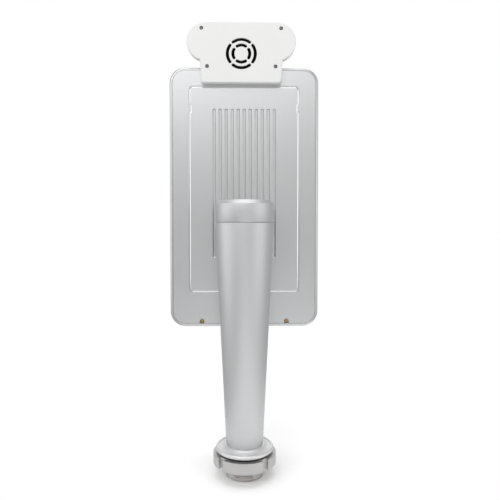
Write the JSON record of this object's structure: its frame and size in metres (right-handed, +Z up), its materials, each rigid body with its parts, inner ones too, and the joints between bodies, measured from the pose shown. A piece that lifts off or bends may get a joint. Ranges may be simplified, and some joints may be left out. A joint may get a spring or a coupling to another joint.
{
  "type": "column-mounted access and fare terminal",
  "caption": "Flat face and fare terminal on a tapered swivel column that clamps through a round hole with a slotted ring nut, with a sensor and speaker head above the screen.",
  "frame": {"origin": "on the column's axis, in the plane of the flange's seat", "axes": "+Z up along the column, -Y the way the screen faces, +X to the right when looking along +Y"},
  "size_m": [0.142, 0.0906, 0.4128],
  "materials": {
    "satin_silver": "satin silver, fine bead-blasted",
    "nut_silver": "satin, turned",
    "stud_metal": "threaded, satin",
    "steel": "plain steel",
    "screw_steel": "polished screw heads",
    "screw_brass": "plated brass screws",
    "insert_alloy": "turned",
    "bush_plastic": "acetal",
    "white_plastic": "fine white moulded plastic",
    "black_rubber": "black rubber",
    "thermal_silicone": "grey-blue silicone",
    "frame_plastic": "silver painted plastic",
    "front_black": "black-backed toughened glass",
    "lens_black": "dark optical glass",
    "window_black": "dark infrared window",
    "display_dark": "display panel, off",
    "board_green": "circuit board",
    "black_plastic": "black plastic",
    "sensor_metal": "plated sensor can",
    "led_resin": "clear white lamp resin"
  },
  "bodies": {
    "column": {"column_tube": "satin_silver", "base_flange": "satin_silver", "flange_gasket": "black_rubber", "threaded_stud": "stud_metal", "top_insert": "insert_alloy", "swivel_bush": "bush_plastic", "stop_pin": "steel"},
    "swivel_head": {"swivel_collar": "satin_silver", "wave_washer": "steel", "swivel_nut": "steel", "tilt_bolts": "steel", "tilt_nuts": "steel"},
    "terminal": {"tilt_washers": "bush_plastic", "tilt_bracket": "steel", "bracket_screws": "steel", "cable_grommet": "black_rubber", "rear_shell": "satin_silver", "case_screws": "screw_brass", "heatsink_panel": "satin_silver", "panel_screws": "steel", "front_frame": "frame_plastic", "glass_gasket": "black_rubber", "front_glass": "front_black", "screen_chassis": "steel", "chassis_screws": "steel", "display_module": "display_dark", "main_board": "board_green", "board_standoffs": "steel", "board_screws": "steel", "processor_shield": "steel", "thermal_pad": "thermal_silicone", "camera_board": "board_green", "camera_lenses": "lens_black", "fill_light_boards": "board_green", "reader_antenna": "board_green", "head_housing": "white_plastic", "head_mount_screws": "steel", "head_plug": "black_plastic", "head_gasket": "black_rubber", "head_rear_cover": "white_plastic", "head_cover_screws": "screw_steel", "grille_mesh": "black_plastic", "speaker_frame": "black_plastic", "speaker_cone": "black_plastic", "speaker_magnet": "steel", "head_board": "board_green", "thermal_sensor": "sensor_metal", "sensor_lens": "lens_black", "head_lights": "led_resin", "head_window": "window_black"},
    "clamp_washer_body": {"clamp_washer": "black_rubber"},
    "ring_nut_body": {"ring_nut": "nut_silver"}
  },
  "joints": [
    {"name": "swivel", "type": "hinge", "parent": "column", "child": "swivel_head", "pos_m": [0, 0, 0.2025], "axis": [0, 0, 1], "range_deg": [-90, 90]},
    {"name": "tilt", "type": "hinge", "parent": "swivel_head", "child": "terminal", "pos_m": [0, -0.032, 0.212], "axis": [-1, 0, 0], "range_deg": [-5, 25]},
    {"name": "washer_lift", "type": "slide", "parent": "column", "child": "clamp_washer_body", "axis": [0, 0, -1], "range_m": [-0.00158, 0.00895]},
    {"name": "nut_turn", "type": "hinge", "parent": "clamp_washer_body", "child": "ring_nut_body", "pos_m": [0, 0, -0.007], "axis": [0, 0, -1], "range_deg": [-380, 2150]}
  ],
  "couplings": [
    {"joint": "nut_turn", "follows": "washer_lift", "rad_per_m": 4188.8}
  ]
}
